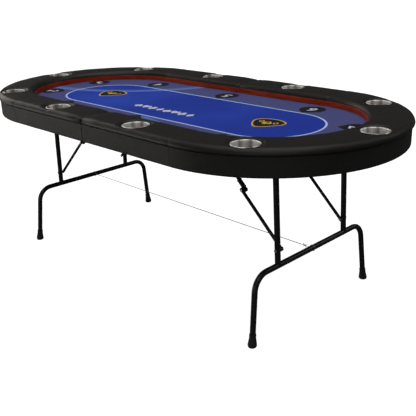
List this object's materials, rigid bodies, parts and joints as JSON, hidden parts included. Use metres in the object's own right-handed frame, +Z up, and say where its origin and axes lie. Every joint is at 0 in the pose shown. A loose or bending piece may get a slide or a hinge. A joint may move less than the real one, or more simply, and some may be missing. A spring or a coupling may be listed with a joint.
{
  "type": "folding oval card table",
  "caption": "Folding oval card table with padded rail, steel cup holders, printed blue cloth and braced folding leg frames tied by a wire.",
  "frame": {"origin": "centre of the footprint on the floor, under the centre seam", "axes": "+X along the length towards the right leg frame, +Y to the back, +Z up"},
  "size_m": [2.0398, 1.04, 0.762],
  "materials": {
    "board_wood": "raw fibreboard, sealed",
    "underlay_foam": "closed-cell foam sheet",
    "playing_cloth": "printed speed cloth, royal blue",
    "race_band_wood": "red-brown stained band, satin",
    "rail_vinyl": "black grained vinyl, soft sheen",
    "apron_vinyl": "black grained vinyl, matte",
    "cup_steel": "brushed and polished stainless",
    "frame_wood": "softwood battens",
    "black_steel": "gloss black powder coat",
    "zinc_steel": "bright zinc",
    "foot_rubber": "matte black rubber",
    "cable_steel": "galvanised wire rope"
  },
  "bodies": {
    "half_left": {"playing_board_left": "board_wood", "foam_underlay_left": "underlay_foam", "playing_cloth_left": "playing_cloth", "race_band_left": "race_band_wood", "rail_deck_left": "board_wood", "rail_pad_left": "rail_vinyl", "apron_left": "apron_vinyl", "rail_piping_left": "apron_vinyl", "cup_holders_left": "cup_steel", "under_frame_left": "frame_wood", "leg_brackets_left": "black_steel", "brace_brackets_left": "black_steel", "bracket_fasteners_left": "zinc_steel", "hinge_leaves_left": "zinc_steel", "hinge_pins": "zinc_steel", "alignment_pins": "zinc_steel", "tie_cable": "cable_steel", "cable_fittings": "cable_steel"},
    "half_right": {"playing_board_right": "board_wood", "foam_underlay_right": "underlay_foam", "playing_cloth_right": "playing_cloth", "race_band_right": "race_band_wood", "rail_deck_right": "board_wood", "rail_pad_right": "rail_vinyl", "apron_right": "apron_vinyl", "rail_piping_right": "apron_vinyl", "cup_holders_right": "cup_steel", "under_frame_right": "frame_wood", "leg_brackets_right": "black_steel", "brace_brackets_right": "black_steel", "bracket_fasteners_right": "zinc_steel", "hinge_leaves_right": "zinc_steel"},
    "leg_left": {"pivot_tube_left": "black_steel", "leg_posts_left": "black_steel", "foot_bow_left": "black_steel", "rubber_feet_left": "foot_rubber", "brace_bolts_left": "zinc_steel", "cable_loop_left": "cable_steel"},
    "leg_right": {"pivot_tube_right": "black_steel", "leg_posts_right": "black_steel", "foot_bow_right": "black_steel", "rubber_feet_right": "foot_rubber", "brace_bolts_right": "zinc_steel", "cable_loop_right": "cable_steel"},
    "upper_brace_left_front": {"upper_brace_left_front": "black_steel"},
    "lower_brace_left_front": {"lower_brace_left_front": "black_steel", "knee_rivet_left_front": "zinc_steel"},
    "lock_ring_left_front": {"lock_ring_left_front": "black_steel"},
    "upper_brace_left_back": {"upper_brace_left_back": "black_steel"},
    "lower_brace_left_back": {"lower_brace_left_back": "black_steel", "knee_rivet_left_back": "zinc_steel"},
    "lock_ring_left_back": {"lock_ring_left_back": "black_steel"},
    "upper_brace_right_front": {"upper_brace_right_front": "black_steel"},
    "lower_brace_right_front": {"lower_brace_right_front": "black_steel", "knee_rivet_right_front": "zinc_steel"},
    "lock_ring_right_front": {"lock_ring_right_front": "black_steel"},
    "upper_brace_right_back": {"upper_brace_right_back": "black_steel"},
    "lower_brace_right_back": {"lower_brace_right_back": "black_steel", "knee_rivet_right_back": "zinc_steel"},
    "lock_ring_right_back": {"lock_ring_right_back": "black_steel"}
  },
  "joints": [
    {"name": "table_fold", "type": "hinge", "parent": "half_left", "child": "half_right", "pos_m": [0, 0, 0.66], "axis": [0, 1, 0], "range_deg": [0, 90], "deforming": ["tie_cable", "cable_fittings"]},
    {"name": "leg_left_fold", "type": "hinge", "parent": "half_left", "child": "leg_left", "pos_m": [-0.693, 0, 0.68], "axis": [0, -1, 0], "range_deg": [0, 92.29], "deforming": ["tie_cable", "cable_fittings"]},
    {"name": "upper_brace_left_front_swing", "type": "hinge", "parent": "half_left", "child": "upper_brace_left_front", "pos_m": [-0.3347, -0.1675, 0.68], "axis": [0, 1, 0], "range_deg": [0, 44]},
    {"name": "lower_brace_left_front_swing", "type": "hinge", "parent": "leg_left", "child": "lower_brace_left_front", "pos_m": [-0.7073, -0.1855, 0.32199], "axis": [0, -1, 0], "range_deg": [0, 44]},
    {"name": "lock_ring_left_front_slide", "type": "slide", "parent": "upper_brace_left_front", "child": "lock_ring_left_front", "axis": [0.7211, 0, 0.6929], "range_m": [0, 0.04]},
    {"name": "upper_brace_left_back_swing", "type": "hinge", "parent": "half_left", "child": "upper_brace_left_back", "pos_m": [-0.3347, 0.1675, 0.68], "axis": [0, 1, 0], "range_deg": [0, 44]},
    {"name": "lower_brace_left_back_swing", "type": "hinge", "parent": "leg_left", "child": "lower_brace_left_back", "pos_m": [-0.7073, 0.1855, 0.32199], "axis": [0, -1, 0], "range_deg": [0, 44]},
    {"name": "lock_ring_left_back_slide", "type": "slide", "parent": "upper_brace_left_back", "child": "lock_ring_left_back", "axis": [0.7211, 0, 0.6929], "range_m": [0, 0.04]},
    {"name": "leg_right_fold", "type": "hinge", "parent": "half_right", "child": "leg_right", "pos_m": [0.693, 0, 0.68], "axis": [0, 1, 0], "range_deg": [0, 92.29], "deforming": ["tie_cable", "cable_fittings"]},
    {"name": "upper_brace_right_front_swing", "type": "hinge", "parent": "half_right", "child": "upper_brace_right_front", "pos_m": [0.3347, -0.1675, 0.68], "axis": [0, -1, 0], "range_deg": [0, 44]},
    {"name": "lower_brace_right_front_swing", "type": "hinge", "parent": "leg_right", "child": "lower_brace_right_front", "pos_m": [0.7073, -0.1855, 0.32199], "axis": [0, 1, 0], "range_deg": [0, 44]},
    {"name": "lock_ring_right_front_slide", "type": "slide", "parent": "upper_brace_right_front", "child": "lock_ring_right_front", "axis": [-0.7211, 0, 0.6929], "range_m": [0, 0.04]},
    {"name": "upper_brace_right_back_swing", "type": "hinge", "parent": "half_right", "child": "upper_brace_right_back", "pos_m": [0.3347, 0.1675, 0.68], "axis": [0, -1, 0], "range_deg": [0, 44]},
    {"name": "lower_brace_right_back_swing", "type": "hinge", "parent": "leg_right", "child": "lower_brace_right_back", "pos_m": [0.7073, 0.1855, 0.32199], "axis": [0, 1, 0], "range_deg": [0, 44]},
    {"name": "lock_ring_right_back_slide", "type": "slide", "parent": "upper_brace_right_back", "child": "lock_ring_right_back", "axis": [-0.7211, 0, 0.6929], "range_m": [0, 0.04]}
  ],
  "couplings": [
    {"joint": "upper_brace_left_front_swing", "follows": "leg_left_fold", "ratio": 0.47522},
    {"joint": "lower_brace_left_front_swing", "follows": "leg_left_fold", "ratio": 0.47522},
    {"joint": "upper_brace_left_back_swing", "follows": "leg_left_fold", "ratio": 0.47522},
    {"joint": "lower_brace_left_back_swing", "follows": "leg_left_fold", "ratio": 0.47522},
    {"joint": "upper_brace_right_front_swing", "follows": "leg_right_fold", "ratio": 0.47522},
    {"joint": "lower_brace_right_front_swing", "follows": "leg_right_fold", "ratio": 0.47522},
    {"joint": "upper_brace_right_back_swing", "follows": "leg_right_fold", "ratio": 0.47522},
    {"joint": "lower_brace_right_back_swing", "follows": "leg_right_fold", "ratio": 0.47522}
  ]
}
